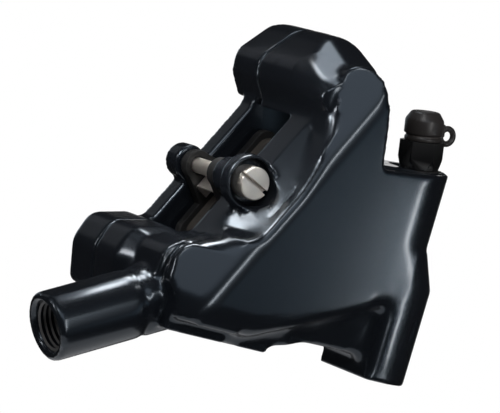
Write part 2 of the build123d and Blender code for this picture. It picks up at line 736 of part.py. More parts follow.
# Sheet spring between the backing plates, under the pad axle
with BuildPart() as pad_spring:
    with BuildSketch(axle_plane.offset(-spring_width / 2)):
        with BuildLine():
            leg_end = -spring_foot_drop
            crown = -spring_crown_drop
            FilletPolyline(
                (leg_end, -outer_plate_face), (crown, -outer_plate_face), (crown, -inner_plate_face),
                (leg_end, -inner_plate_face), (leg_end, -inner_plate_face + spring_sheet),
                (crown - spring_sheet, -inner_plate_face + spring_sheet),
                (crown - spring_sheet, -outer_plate_face - spring_sheet), (leg_end, -outer_plate_face - spring_sheet),
                radius=[0, spring_bend, spring_bend, 0, 0, spring_bend - spring_sheet, spring_bend - spring_sheet, 0],
                close=True,
            )
        make_face()
    extrude(amount=spring_width)
pad_spring.part.label = "pad_spring"
export_step(pad_spring.part, "parts/pad_spring.step")

# Pad axle with its slotted head, thread and clip groove
with BuildPart() as pad_axle:
    head_face = axle_head_seat - axle_head_height
    with BuildSketch(side_plane(axle_head_seat)):
        with Locations((axle_x, axle_z)):
            Circle(axle_head_radius)
    extrude(amount=axle_head_height)
    fillet(pad_axle.faces().sort_by(Axis.Y)[0].edges(), axle_edge)
    with BuildSketch(side_plane(axle_end_reach)):
        with Locations((axle_x, axle_z)):
            Circle(axle_radius)
    extrude(amount=axle_end_reach - axle_head_seat)
    chamfer(pad_axle.faces().sort_by(Axis.Y)[-1].edges(), axle_edge)
    with BuildSketch(side_plane(axle_head_seat + axle_thread_length)):
        with Locations((axle_x, axle_z)):
            Circle(axle_thread_radius)
    extrude(amount=axle_thread_length)
    with BuildSketch(side_plane(bar_reach + clip_thickness)):
        with Locations((axle_x, axle_z)):
            Circle(axle_radius)
            Circle(axle_radius - clip_groove_depth, mode=Mode.SUBTRACT)
    extrude(amount=clip_thickness, mode=Mode.SUBTRACT)
    slot_run = (cos(radians(axle_slot_angle)), 0, sin(radians(axle_slot_angle)))
    with BuildSketch(Plane(origin=(axle_x, head_face, axle_z), x_dir=slot_run, z_dir=(0, -1, 0))):
        Rectangle(axle_head_radius * 2 + cut_overrun, axle_slot_width)
    extrude(amount=-axle_slot_depth, mode=Mode.SUBTRACT)
pad_axle.part.label = "pad_axle"
export_step(pad_axle.part, "parts/pad_axle.step")

with BuildPart() as pad_axle_clip:
    with BuildSketch(side_plane(bar_reach + clip_thickness)):
        with Locations((axle_x, axle_z)):
            Circle(clip_radius)
            Circle(axle_radius - clip_groove_depth, mode=Mode.SUBTRACT)
        with Locations((axle_x, axle_z - clip_radius)):
            Rectangle(clip_gap, clip_radius * 2, mode=Mode.SUBTRACT)
    extrude(amount=clip_thickness)
pad_axle_clip.part.label = "pad_axle_clip"
export_step(pad_axle_clip.part, "parts/pad_axle_clip.step")

# Bleed nipple: thread, hexagon, neck and barb, with its hole
hex_start = boss_pad_height + nipple_seat_gap
hex_end = hex_start + nipple_hex_height
with BuildPart() as bleed_nipple:
    with BuildSketch(nipple_plane.offset(hex_start)):
        RegularPolygon(nipple_hex_width / 2, 6, major_radius=False)
    extrude(amount=nipple_hex_height)
    with BuildSketch(nipple_plane.offset(hex_start)):
        Circle(nipple_hex_width / 2)
    with BuildSketch(nipple_plane.offset(hex_end)):
        Circle(nipple_hex_width / 2 + nipple_hex_edge * 2)
    loft(mode=Mode.INTERSECT)
    with BuildSketch(nipple_plane.offset(hex_start)):
        Circle(nipple_thread_radius - nipple_fit)
    extrude(amount=-nipple_thread_length)
    with BuildSketch(nipple_plane.offset(hex_end)):
        Circle(nipple_neck_radius)
    extrude(amount=nipple_top - nipple_hex_height)
    with BuildSketch(nipple_plane.offset(hex_start + nipple_top - nipple_barb_height)):
        Circle(nipple_barb_radius)
    with BuildSketch(nipple_plane.offset(hex_start + nipple_top)):
        Circle(nipple_neck_radius)
    loft()
    with BuildSketch(nipple_plane.offset(hex_start + nipple_top)):
        Circle(nipple_hole_radius)
    extrude(amount=-nipple_top, mode=Mode.SUBTRACT)
bleed_nipple.part.label = "bleed_nipple"
export_step(bleed_nipple.part, "parts/bleed_nipple.step")

with BuildPart() as bleed_seal:
    with Locations(nipple_plane.offset(boss_pad_height - bleed_seal_wire)):
        Torus(bleed_seal_radius, bleed_seal_wire)
bleed_seal.part.label = "bleed_seal"
export_step(bleed_seal.part, "parts/bleed_seal.step")

# Rubber cap with its ring and loop
cap_start = hex_end + pad_rest_gap
with BuildPart() as bleed_cap:
    with BuildSketch(nipple_plane.offset(cap_start)):
        Circle(cap_ring_radius)
    extrude(amount=cap_ring_height)
    with BuildSketch(nipple_plane.offset(cap_start + cap_ring_height)):
        Circle(cap_radius)
    extrude(amount=cap_height)
    chamfer(bleed_cap.faces().sort_by(Axis.Z)[-1].edges(), cap_edge)
    loop_plane = Plane(origin=nipple_plane.origin, x_dir=(cos(radians(nipple_lean)), 0, sin(radians(nipple_lean))),
                       z_dir=(0, -1, 0))
    loop_height = cap_start + cap_loop_rise
    with BuildSketch(loop_plane.offset(-cap_loop_width / 2)):
        with Locations((cap_loop_reach, loop_height)):
            Circle(cap_loop_radius)
        with Locations((cap_loop_reach / 2 + cap_bore_radius / 2, loop_height)):
            Rectangle(cap_loop_reach - cap_bore_radius, cap_loop_radius * 2)
    extrude(amount=cap_loop_width)
    with BuildSketch(loop_plane.offset(-cap_loop_width / 2)):
        with Locations((cap_loop_reach, loop_height)):
            Circle(cap_loop_hole)
    extrude(amount=cap_loop_width, mode=Mode.SUBTRACT)
    with BuildSketch(nipple_plane.offset(cap_start)):
        Circle(cap_bore_radius)
    extrude(amount=cap_ring_height + cap_height - cap_roof, mode=Mode.SUBTRACT)
bleed_cap.part.label = "bleed_cap"
export_step(bleed_cap.part, "parts/bleed_cap.step")
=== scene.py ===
import json
import math

import bmesh
import bpy
from bpy.props import FloatProperty, FloatVectorProperty, PointerProperty
from mathutils import Matrix, Vector

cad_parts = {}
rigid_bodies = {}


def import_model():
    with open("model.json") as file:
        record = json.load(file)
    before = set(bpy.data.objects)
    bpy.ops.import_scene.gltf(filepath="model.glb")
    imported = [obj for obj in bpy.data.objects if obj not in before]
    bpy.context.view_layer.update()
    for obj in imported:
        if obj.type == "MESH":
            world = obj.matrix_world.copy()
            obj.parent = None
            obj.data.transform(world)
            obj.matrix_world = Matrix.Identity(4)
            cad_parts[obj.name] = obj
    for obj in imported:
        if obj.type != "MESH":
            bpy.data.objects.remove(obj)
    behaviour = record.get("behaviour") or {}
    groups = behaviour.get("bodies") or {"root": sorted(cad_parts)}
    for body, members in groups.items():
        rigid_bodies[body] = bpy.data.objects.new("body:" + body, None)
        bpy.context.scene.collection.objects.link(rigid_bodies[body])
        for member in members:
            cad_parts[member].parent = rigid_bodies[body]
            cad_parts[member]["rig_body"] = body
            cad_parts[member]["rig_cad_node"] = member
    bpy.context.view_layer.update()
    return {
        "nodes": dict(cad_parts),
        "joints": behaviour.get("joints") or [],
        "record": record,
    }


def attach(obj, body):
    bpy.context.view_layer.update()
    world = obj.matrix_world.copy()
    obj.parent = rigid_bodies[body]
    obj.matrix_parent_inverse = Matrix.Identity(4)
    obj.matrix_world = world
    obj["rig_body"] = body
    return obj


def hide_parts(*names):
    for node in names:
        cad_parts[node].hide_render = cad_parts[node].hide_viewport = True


bl_info = {
    "name": "Disc brake caliper",
    "version": (1, 0, 0),
    "blender": (4, 5, 0),
    "location": "3D View > Sidebar > Caliper",
    "description": "Dresses the packed brake caliper with its paint, metal and rubber",
    "category": "Object",
}

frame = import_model()
joints = {joint["name"]: joint for joint in frame["joints"]}

MM = 0.001
FAR = math.inf
WHITE = (1.0, 1.0, 1.0)
COOL_WHITE = (0.95, 0.97, 1.0)

# Cleaning, rounding and shading of the meshes
MERGE_GAP = 2e-6
THREAD_MERGE_GAP = 1e-6
FLAT_ANGLE = math.radians(1)
BREAK_ANGLE = math.radians(28)
BREAK_SEGMENTS = 2
SHARP_ANGLE = math.radians(32)
ROUNDING_ANGLE = math.radians(25)
ROUNDING_SEGMENTS = 3
ROUNDED_SHARP_ANGLE = math.radians(40)
TURNED_SEGMENTS = 64
SMOOTH_SHARE = 0.5
SKIN_PASSES = 6
SKIN_DRAW_IN = -0.00001

# Centre of the pad axle and its ears as seen from the side, in millimetres
EAR_X, EAR_Z = -19.41, 28.11

# How far the foot of the flank is pushed in, and how wide it draws its neighbourhood along, in millimetres
FLANK_PUSH = (0, 1.5, 0)
FLANK_PUSH_REACH = 6.5

# Thread in the hose port's mouth, in millimetres
THREAD_RIDGE = 0.40
THREAD_PITCH = 1.0
THREAD_MOUTH_GAP = 0.3
THREAD_STEPS = 48

# Broken edge of the bleed nipple and sizes of its cap, in millimetres; the cap stands along the nipple's axis
NIPPLE_EDGE = 0.22
CAP_START = 5.55
CAP_PROFILE = [
    (0.3, 4.5), (2.4, 4.5), (2.4, 0.0), (3.3, 0.0), (3.35, 0.55), (3.12, 0.8), (3.12, 1.05), (3.52, 1.3),
    (3.54, 3.6), (3.38, 4.0), (2.65, 5.1), (2.35, 5.28), (0.3, 5.28),
]
CAP_EDGE = 0.16
RING_RADIUS, RING_WIRE = 1.4, 0.55
RING_CENTRE = (5.3, 0, 0.9)
RING_SEGMENTS, RING_WIRE_SEGMENTS = 48, 16
STRAP_CENTRE = (3.8, 0, 1.9)
STRAP_SIZE = (1.5, 1.1, 2.4)
STRAP_EDGE = 0.3

# Mottling of the paints and metals, and of the floor and the cards, as shares of their colour
MOTTLE_SHARE = 0.15
STAGE_MOTTLE_SHARE = 0.03
LEAST_ROUGHNESS = 0.02
# Lowest strength of the lighter edges, a painted edge highlight and partly rubbed wear, where noise breaks them up
SHEEN_AND_WEAR_BREAKUP_LOW = 0.55

# Floor, black cards and world, in metres
FLOOR_CENTRE = (-0.012, 0.012)
FLOOR_DEPTH = 0.01
FLOOR_EDGE = 0.002
FLOOR_SEGMENTS = 96
SEEN_FROM_ABOVE = 0.3
STAGE_ROUGHNESS = 0.95
STAGE_SPECULAR = 0.05
STAGE_CLOUD = 8
CARDS_RADIUS = 1.1
CARDS_SEGMENTS, CARDS_RINGS = 64, 32
CARDS_OPENING = math.radians(16)
CARDS_COLOUR = (0.02, 0.02, 0.02)
SKY_LOW, SKY_HIGH = -0.25, 0.9
SKY_LOW_LEVEL, SKY_HIGH_LEVEL = 0.35, 0.75

# Camera that matches the photograph, in metres and millimetres of film
EYE = Vector((-0.31177, -0.43197, 0.03956))
VIEW_AHEAD = Vector((0.5618, 0.8267, -0.0297))
VIEW_RIGHT = Vector((0.7981, -0.5323, 0.2822))
SENSOR_WIDTH = 36
LENS = 216
CLIP_NEAR, CLIP_FAR = 0.01, 20

# Studio lamps all look at one point; each has its way out from it, its reach, width, height, power and colour
LAMP_TARGET = Vector((-0.006, 0.005, 0.024))
STUDIO_LAMPS = (
    ("Crease strip", (0.11, -0.97, 0.22), 0.60, 0.045, 0.34, 0.65, WHITE),
    ("Face fill", (0.60, -0.80, 0.10), 0.75, 0.24, 0.30, 0.09, (0.60, 0.82, 1.0)),
    ("Back", (-0.31, 0.83, 0.46), 0.60, 0.30, 0.30, 0.04, COOL_WHITE),
    ("Edge light", (-0.60, -0.48, 0.64), 0.50, 0.12, 0.12, 0.25, COOL_WHITE),
    ("Hollow fill", (-0.70, 0.12, 0.70), 0.50, 0.16, 0.16, 0.03, (0.85, 0.93, 1.0)),
    ("Rear fill", (0.00, 0.98, 0.15), 0.80, 0.34, 0.30, 0.22, (0.75, 0.88, 1.0)),
    ("Left window", (-0.96, 0.04, 0.27), 0.50, 0.06, 0.12, 0.45, (1, 0.96, 0.95)),
)
KEY_WAY, KEY_REACH = (-0.35, -0.80, 0.58), 0.55
KEY_WIDTH, KEY_HEIGHT = 0.30, 0.22
KEY_COLOUR = (0.80, 0.89, 1.0)

# Small lamps each look at one place of the part from close by: the place, the way out from it, the reach, width,
# height, power and colour, and the spread of the beam in degrees
WALL_WAY = (0.67, -0.74, -0.03)
OPEN_BEAM = 180
SMALL_LAMPS = (
    ("Boss strip", (0.0105, -0.0075, 0.028), WALL_WAY, 0.15, 0.0065, 0.023, 0.00023, WHITE, 22),
    ("Leg strip", (0.0105, -0.0075, 0.006), WALL_WAY, 0.15, 0.0065, 0.014, 0.00016, WHITE, 22),
    ("Valley glint", (-0.0203, -0.0002, 0.0209), (-0.68, 0.14, 0.72), 0.03, 0.010, 0.010, 0.006, WHITE, OPEN_BEAM),
    ("Ledge light", (-0.0262, -0.0035, 0.0163), (0.06, 0.42, 0.90), 0.05, 0.022, 0.022, 0.0016, WHITE, 46),
    ("Tongue light", (-0.0066, -0.0037, 0.0526), (-0.25, -0.50, 0.83), 0.03, 0.009, 0.009, 0.0016, WHITE, OPEN_BEAM),
    ("Facet light", (-0.0115, 0.0, 0.0520), (-0.07, 0.40, 0.91), 0.10, 0.044, 0.044, 0.0203, (0.84, 0.92, 1.0),
     OPEN_BEAM),
)


class CaliperFinish(bpy.types.PropertyGroup):
    """Colours and small sizes of the caliper's finishes."""

    paint: FloatVectorProperty(name="Paint", description="Colour of both body halves", subtype="COLOR", size=3,
                               default=(0.0045, 0.0055, 0.0075), min=0, max=1)
    paint_roughness: FloatProperty(name="Paint roughness", description="Roughness of the paint under its clear coat",
                                   default=0.25, min=0, max=1)
    steel: FloatVectorProperty(name="Bare steel", description="Colour of the bare steel", subtype="COLOR", size=3,
                               default=(1.0, 0.86, 0.78), min=0, max=1)
    rubber: FloatVectorProperty(name="Cap rubber", description="Colour of the nipple's cap", subtype="COLOR", size=3,
                                default=(0.022, 0.019, 0.018), min=0, max=1)
    skin_voxel: FloatProperty(name="Skin fineness", description="Cell size of the smoothed skin of both halves",
                              default=0.00038, min=0.0002, max=0.001, unit="LENGTH", precision=5)
    edge_bevel: FloatProperty(name="Edge break", description="Width of the broken edges of the small parts",
                              default=0.00015, min=0, max=0.001, unit="LENGTH", precision=5)


class CaliperStage(bpy.types.PropertyGroup):
    """Light and floor of the picture."""

    floor_drop: FloatProperty(name="Floor drop", description="Distance of the floor under the mount face",
                              default=0.06, min=0.02, max=0.2, unit="LENGTH")
    floor_radius: FloatProperty(name="Floor radius", description="Radius of the round pale floor",
                                default=0.09, min=0.05, max=1, unit="LENGTH")
    floor_colour: FloatVectorProperty(name="Floor", description="Colour of the floor", subtype="COLOR", size=3,
                                      default=(0.70, 0.70, 0.71), min=0, max=1)
    key_power: FloatProperty(name="Key light", description="Power of the large light", default=0.25, min=0, max=50)


# Selecting and naming


def settle():
    """Leaves edit mode with nothing selected."""
    if bpy.context.object and bpy.context.object.mode != "OBJECT":
        bpy.ops.object.mode_set(mode="OBJECT")
    bpy.ops.object.select_all(action="DESELECT")


def pick(piece):
    """Makes a piece the only selected and active one."""
    settle()
    piece.select_set(True)
    bpy.context.view_layer.objects.active = piece


def named(piece, name):
    """Gives a piece and its mesh one name."""
    piece.name = name
    piece.data.name = name
    return piece


# Shaping


def modify(piece, label, kind, **settings):
    """Adds a modifier with its settings to the active piece and applies it."""
    modifier = piece.modifiers.new(label, kind)
    for setting, value in settings.items():
        setattr(modifier, setting, value)
    bpy.ops.object.modifier_apply(modifier=modifier.name)


def stood(piece, place, turn):
    """Turns a piece made at the origin, moves it to a point and applies its place."""
    pick(piece)
    piece.rotation_mode = "QUATERNION"
    piece.rotation_quaternion = turn
    piece.location = place
    bpy.ops.object.transform_apply(location=True, rotation=True, scale=True)


def copied(node, name):
    """A merged copy of a CAD node, unparented and at the origin."""
    pick(frame["nodes"][node])
    bpy.ops.object.duplicate()
    piece = named(bpy.context.object, name)
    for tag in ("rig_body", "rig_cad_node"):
        if tag in piece:
            del piece[tag]
    piece.parent = None
    piece.matrix_world = Matrix.Identity(4)
    piece.data.materials.clear()
    bpy.ops.object.mode_set(mode="EDIT")
    bpy.ops.mesh.select_all(action="SELECT")
    bpy.ops.mesh.remove_doubles(threshold=MERGE_GAP)
    bpy.ops.object.mode_set(mode="OBJECT")
    return piece


def broken_edges(piece, width):
    """Breaks the sharp edges of a merged copy and keeps its large faces flat."""
    pick(piece)
    bpy.ops.object.mode_set(mode="EDIT")
    bpy.ops.mesh.select_all(action="SELECT")
    bpy.ops.mesh.dissolve_limited(angle_limit=FLAT_ANGLE)
    bpy.ops.object.mode_set(mode="OBJECT")
    modify(piece, "Broken edges", "BEVEL", width=width, segments=BREAK_SEGMENTS, limit_method="ANGLE",
           angle_limit=BREAK_ANGLE, use_clamp_overlap=True, miter_outer="MITER_ARC")
    bpy.ops.object.shade_smooth_by_angle(angle=SHARP_ANGLE)
    modify(piece, "Flat faces", "WEIGHTED_NORMAL", keep_sharp=True)


def smoothed_skin(piece, voxel):
    """Turns a merged copy into one even skin with softly rounded edges, drawn in to stay inside the solid."""
    pick(piece)
    modify(piece, "Skin", "REMESH", mode="VOXEL", voxel_size=voxel, use_smooth_shade=True)
    modify(piece, "Soft edges", "SMOOTH", factor=SMOOTH_SHARE, iterations=SKIN_PASSES)
    modify(piece, "Paint line", "DISPLACE", strength=SKIN_DRAW_IN, mid_level=0)
    bpy.ops.object.shade_smooth()


def softened(piece, chosen, passes):
    """Softens only the part of a skin that a rule chooses, in millimetres."""
    pick(piece)
    group = piece.vertex_groups.new(name="Soft")
    group.add([v.index for v in piece.data.vertices if chosen(v.co / MM)], 1.0, "REPLACE")
    modify(piece, "Softening", "SMOOTH", factor=SMOOTH_SHARE, iterations=passes, vertex_group=group.name)
    piece.vertex_groups.clear()


def pushed(piece, chosen, move, reach):
    """Moves the chosen part of a skin and draws its neighbourhood along, in millimetres."""
    pick(piece)
    for vertex in piece.data.vertices:
        vertex.select = chosen(vertex.co / MM)
    bpy.ops.object.mode_set(mode="EDIT")
    bpy.ops.transform.translate(value=Vector(move) * MM, use_proportional_edit=True,
                                proportional_edit_falloff="SMOOTH", proportional_size=reach * MM)
    bpy.ops.object.mode_set(mode="OBJECT")


def turned(name, profile):
    """A turned piece along Z with flat ends, drawn out ring by ring from (radius, height) pairs in millimetres."""
    settle()
    radius, height = profile[0]
    bpy.ops.mesh.primitive_circle_add(vertices=TURNED_SEGMENTS, radius=radius * MM, location=(0, 0, 0),
                                      fill_type="NGON")
    piece = named(bpy.context.object, name)
    bpy.ops.object.mode_set(mode="EDIT")
    bpy.ops.mesh.select_all(action="SELECT")
    bpy.ops.transform.translate(value=(0, 0, height * MM))
    bpy.ops.mesh.select_mode(type="EDGE")
    mesh = bmesh.from_edit_mesh(piece.data)
    for face in mesh.faces:
        face.select = False
    for edge in mesh.edges:
        edge.select = True
    bmesh.update_edit_mesh(piece.data)
    for next_radius, next_height in profile[1:]:
        bpy.ops.mesh.extrude_edges_move(TRANSFORM_OT_translate={"value": (0, 0, (next_height - height) * MM)})
        if next_radius != radius:
            ratio = next_radius / radius
            bpy.ops.transform.resize(value=(ratio, ratio, 1), center_override=(0, 0, next_height * MM))
        radius, height = next_radius, next_height
    bpy.ops.mesh.edge_face_add()
    bpy.ops.mesh.select_all(action="SELECT")
    bpy.ops.mesh.normals_make_consistent(inside=False)
    bpy.ops.object.mode_set(mode="OBJECT")
    return piece


def rounded(piece, width):
    """Rounds the edges of a modelled piece and shades it smooth."""
    pick(piece)
    modify(piece, "Rounding", "BEVEL", width=width, segments=ROUNDING_SEGMENTS, limit_method="ANGLE",
           angle_limit=ROUNDING_ANGLE)
    bpy.ops.object.shade_smooth_by_angle(angle=ROUNDED_SHARP_ANGLE)


def joined(pieces, name):
    """Joins modelled pieces into the first one."""
    settle()
    for piece in pieces:
        piece.select_set(True)
    bpy.context.view_layer.objects.active = pieces[0]
    bpy.ops.object.join()
    return named(bpy.context.object, name)


def fitted(piece, body, slot_name, look, *nodes):
    """Gives a finished piece its material and its CAD body, and hides the CAD nodes it stands for; the slot name is
    not used.
    """
    piece.data.materials.clear()
    piece.data.materials.append(material(look))
    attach(piece, body)
    if nodes:
        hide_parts(*nodes)


# Places on the skin of the outboard half that are softer than the rest, in the part's own millimetres


def within(point, x=(-FAR, FAR), y=(-FAR, FAR), z=(-FAR, FAR)):
    """Whether a point lies inside a box, open on the sides that aren't given."""
    return x[0] < point.x < x[1] and y[0] < point.y < y[1] and z[0] < point.z < z[1]


def clear_of_ear(point, radius):
    """Whether a point, seen from the side, lies outside a circle round the pad axle's ear."""
    return (point.x - EAR_X) ** 2 + (point.z - EAR_Z) ** 2 > radius ** 2


def at_flank_foot(point):
    """Whether a point lies on the lower outboard edge of the flank, in front of the leg."""
    step_x, front_top, rear_top = -1.5, 1.2, 3.6
    return within(point, x=(-FAR, 9.5), y=(-FAR, -4.2), z=(-FAR, rear_top if point.x > step_x else front_top))


def on_flank(point):
    """Whether a point lies on the leaning flank under the chin of the face plate."""
    bend_x, front_top, rise = -14, 1.5, 0.42
    top = front_top + max(0, point.x - bend_x) * rise
    return within(point, x=(-FAR, 12), y=(-FAR, -2.0), z=(0.4, top))


def near_chin(point):
    """Whether a point lies on the lower edge of the flat face, where it rolls down into the flank and the leg."""
    line_x, line_z, rise, band = -15.3, 2.9, 0.413, 3.2
    beside = abs(point.z - line_z - rise * (point.x - line_x)) < band
    return within(point, x=(-18, 12.5), y=(-FAR, -2.2)) and beside


def near_crease(point):
    """Whether a point lies on the soft crease between the flat face and its slanting facet."""
    line_x, line_z, across_x, across_z, band = -14.78, 25.54, -0.8746, 0.4848, 1.7
    beside = abs(across_x * (point.x - line_x) + across_z * (point.z - line_z)) < band
    return within(point, y=(-FAR, -5.0)) and beside


def near_corner(point):
    """Whether a point lies where the flat face rolls into the rounded rear corner or into the leg."""
    outboard = (-FAR, -2.6)
    on_boss = within(point, x=(6.5, 14.5), y=outboard, z=(17, 36.5))
    on_leg = within(point, x=(7.5, 17.5), y=outboard, z=(0.8, 15.5))
    return on_boss or on_leg


def near_upper_end(point):
    """Whether a point lies on the rolled-over outboard end of the upper lobe."""
    return within(point, y=(-2.6, 13.5), z=(45.5, FAR))


def on_upper_facet(point):
    """Whether a point lies on or beside the slanting facet of the upper lobe."""
    middle, radius = Vector((-13.5, 1.5, 51.5)), 6.5
    return (point - middle).length < radius


def on_port(point):
    """Whether a point lies on the round hose port."""
    return within(point, x=(-FAR, -27), z=(-FAR, 12))


def near_valley(point):
    """Whether a point lies in the hollow below the pad axle, where it runs out onto the slanting facet."""
    return within(point, x=(-29, -14), y=(-6.4, 4), z=(15.5, 24)) and clear_of_ear(point, 5.6)


def in_hollow(point):
    """Whether a point lies in the long hollow beside the pad window, clear of the ear."""
    return within(point, x=(-24, -6), y=(-6, 1.4), z=(20, 44)) and clear_of_ear(point, 6.2)


# Each soft place with its passes of smoothing, in the order in which they are softened
SOFT_PLACES = (
    (on_flank, 30), (near_chin, 80), (near_crease, 70), (near_corner, 70), (near_upper_end, 40),
    (on_upper_facet, 120), (on_port, 8), (near_valley, 120), (in_hollow, 60),
)


# Materials


def set_inputs(node, values):
    """Sets the unlinked inputs of a shader node, each by its name or number."""
    for socket, value in values.items():
        node.inputs[socket].default_value = value


def add_node(nodes, kind, values=None, **settings):
    """A new shader node with its settings and the values of its unlinked inputs."""
    node = nodes.new(kind)
    for setting, value in settings.items():
        setattr(node, setting, value)
    set_inputs(node, values or {})
    return node


def new_group(name, inputs, outputs):
    """A shader node group with named value inputs and outputs."""
    group = bpy.data.node_groups.new(name, "ShaderNodeTree")
    for label, default in inputs:
        socket = group.interface.new_socket(name=label, in_out="INPUT", socket_type="NodeSocketFloat")
        socket.default_value = default
    for label in outputs:
        group.interface.new_socket(name=label, in_out="OUTPUT", socket_type="NodeSocketFloat")
    return group, group.nodes.new("NodeGroupInput"), group.nodes.new("NodeGroupOutput")


def grain_group():
    """Fine grain in two sizes: a height for bump and a slow cloudy mask."""
    group, source, out = new_group("Fine grain", [("Grain scale", 2500), ("Cloud scale", 60)], ["Height", "Cloud"])
    coords = group.nodes.new("ShaderNodeTexCoord")
    for scale, detail, result in (("Grain scale", 3, "Height"), ("Cloud scale", 4, "Cloud")):
        noise = add_node(group.nodes, "ShaderNodeTexNoise", {"Detail": detail})
        group.links.new(coords.outputs["Object"], noise.inputs["Vector"])
        group.links.new(source.outputs[scale], noise.inputs["Scale"])
        group.links.new(noise.outputs["Fac"], out.inputs[result])
    return group


def edge_sheen_and_wear_group():
    """Mask of lighter convex edges, broken up by noise: a painted edge highlight, partly rubbed wear."""
    group, source, out = new_group("Edge sheen and rubbing", [("Low", 0.53), ("High", 0.62), ("Breakup", 400)], ["Mask"])
    nodes, links = group.nodes, group.links
    geometry = nodes.new("ShaderNodeNewGeometry")
    span = nodes.new("ShaderNodeMapRange")
    coords = nodes.new("ShaderNodeTexCoord")
    noise = nodes.new("ShaderNodeTexNoise")
    breakup = add_node(nodes, "ShaderNodeMapRange", {"To Min": SHEEN_AND_WEAR_BREAKUP_LOW})
    product = add_node(nodes, "ShaderNodeMath", operation="MULTIPLY")
    links.new(geometry.outputs["Pointiness"], span.inputs["Value"])
    links.new(source.outputs["Low"], span.inputs["From Min"])
    links.new(source.outputs["High"], span.inputs["From Max"])
    links.new(coords.outputs["Object"], noise.inputs["Vector"])
    links.new(source.outputs["Breakup"], noise.inputs["Scale"])
    links.new(span.outputs["Result"], product.inputs[0])
    links.new(noise.outputs["Fac"], breakup.inputs["Value"])
    links.new(breakup.outputs["Result"], product.inputs[1])
    links.new(product.outputs["Value"], out.inputs["Mask"])
    return group


GROUP_MAKERS = {"grain": grain_group, "sheen_and_wear": edge_sheen_and_wear_group}
GROUPS = {}


def shared(name):
    """One of the shared effects, built once."""
    if name not in GROUPS:
        GROUPS[name] = GROUP_MAKERS[name]()
    return GROUPS[name]


def new_material(name):
    """A new material with the nodes, the links and the main shader of its tree."""
    made = bpy.data.materials.new(name)
    made.use_nodes = True
    nodes, links = made.node_tree.nodes, made.node_tree.links
    return made, nodes, links, nodes["Principled BSDF"]


def mottled(nodes, colour, share):
    """A mix between a slightly darker and a slightly lighter shade of a colour."""
    darker = [c * (1 - share) for c in colour]
    lighter = [min(1, c * (1 + share)) for c in colour]
    return add_node(nodes, "ShaderNodeMix", {"A": (*darker, 1), "B": (*lighter, 1)}, data_type="RGBA")


def finish(name, colour, sheen_and_wear_colour, roughness, metallic=0.0, coat=0.0, coat_roughness=0.1, specular=0.5, bump=0.1,
           grain=2500, cloud=60, spread=0.06, sheen_and_wear=(0.53, 0.62), distance=0.00002, tint=WHITE):
    """A finish with grain in its bump, clouded roughness and lighter convex edges, which are a painted edge
    highlight and partly rubbed wear.
    """
    made, nodes, links, shader = new_material(name)
    set_inputs(shader, {"Metallic": metallic, "Coat Weight": coat, "Coat Roughness": coat_roughness,
                        "Specular IOR Level": specular, "Specular Tint": (*tint, 1)})
    grains = add_node(nodes, "ShaderNodeGroup", {"Grain scale": grain, "Cloud scale": cloud},
                      node_tree=shared("grain"))
    edge_sheen_and_wear = add_node(nodes, "ShaderNodeGroup", {"Low": sheen_and_wear[0], "High": sheen_and_wear[1]}, node_tree=shared("sheen_and_wear"))
    shade = mottled(nodes, colour, MOTTLE_SHARE)
    # Convex edges take the edge colour: a painted edge highlight, partly rubbed wear
    edge = add_node(nodes, "ShaderNodeMix", {"B": (*sheen_and_wear_colour, 1)}, data_type="RGBA")
    span = add_node(nodes, "ShaderNodeMapRange", {"To Min": max(LEAST_ROUGHNESS, roughness - spread),
                                                  "To Max": min(1, roughness + spread)})
    relief = add_node(nodes, "ShaderNodeBump", {"Strength": bump, "Distance": distance})
    links.new(grains.outputs["Cloud"], shade.inputs["Factor"])
    links.new(shade.outputs["Result"], edge.inputs["A"])
    links.new(edge_sheen_and_wear.outputs["Mask"], edge.inputs["Factor"])
    links.new(edge.outputs["Result"], shader.inputs["Base Color"])
    links.new(grains.outputs["Cloud"], span.inputs["Value"])
    links.new(span.outputs["Result"], shader.inputs["Roughness"])
    links.new(grains.outputs["Height"], relief.inputs["Height"])
    links.new(relief.outputs["Normal"], shader.inputs["Normal"])
    return made


MATERIALS = {}


def material(name):
    """A finish of the caliper by name, made on first use."""
    if name in MATERIALS:
        return MATERIALS[name]
    look = bpy.context.scene.caliper_finish
    # The edge colour of each recipe goes on its convex edges: a painted edge highlight, partly rubbed wear
    recipes = {
        "paint": dict(colour=tuple(look.paint), sheen_and_wear_colour=(0.05, 0.055, 0.065), roughness=look.paint_roughness,
                      coat=0.35, coat_roughness=0.14, bump=0.06, grain=3200, cloud=45, spread=0.05,
                      sheen_and_wear=(0.54, 0.66), tint=(0.70, 0.85, 1.0)),
        "black steel": dict(colour=(0.012, 0.012, 0.013), sheen_and_wear_colour=(0.12, 0.12, 0.12), roughness=0.34, metallic=0.7,
                            coat=0.3, bump=0.08, spread=0.08),
        "bare steel": dict(colour=tuple(look.steel), sheen_and_wear_colour=(0.8, 0.76, 0.72), roughness=0.42, metallic=1.0,
                           bump=0.12, grain=4200, cloud=300, spread=0.08),
        "pad steel": dict(colour=(0.006, 0.006, 0.006), sheen_and_wear_colour=(0.14, 0.14, 0.14), roughness=0.5, metallic=0.6,
                          bump=0.3, grain=1800),
        "lining": dict(colour=(0.014, 0.012, 0.011), sheen_and_wear_colour=(0.08, 0.07, 0.06), roughness=0.85, bump=0.9, grain=900,
                       cloud=500, spread=0.08, distance=0.0001, specular=0.25),
        "piston": dict(colour=(0.55, 0.53, 0.49), sheen_and_wear_colour=(0.7, 0.68, 0.64), roughness=0.38, bump=0.08),
        "seal": dict(colour=(0.012, 0.012, 0.012), sheen_and_wear_colour=(0.03, 0.03, 0.03), roughness=0.55, bump=0.1),
        "cap rubber": dict(colour=tuple(look.rubber), sheen_and_wear_colour=(0.07, 0.06, 0.055), roughness=0.4, bump=0.3,
                           grain=1500, cloud=160, spread=0.08, distance=0.00003),
    }
    MATERIALS[name] = finish(name.capitalize(), **recipes[name])
    return MATERIALS[name]


# Pieces


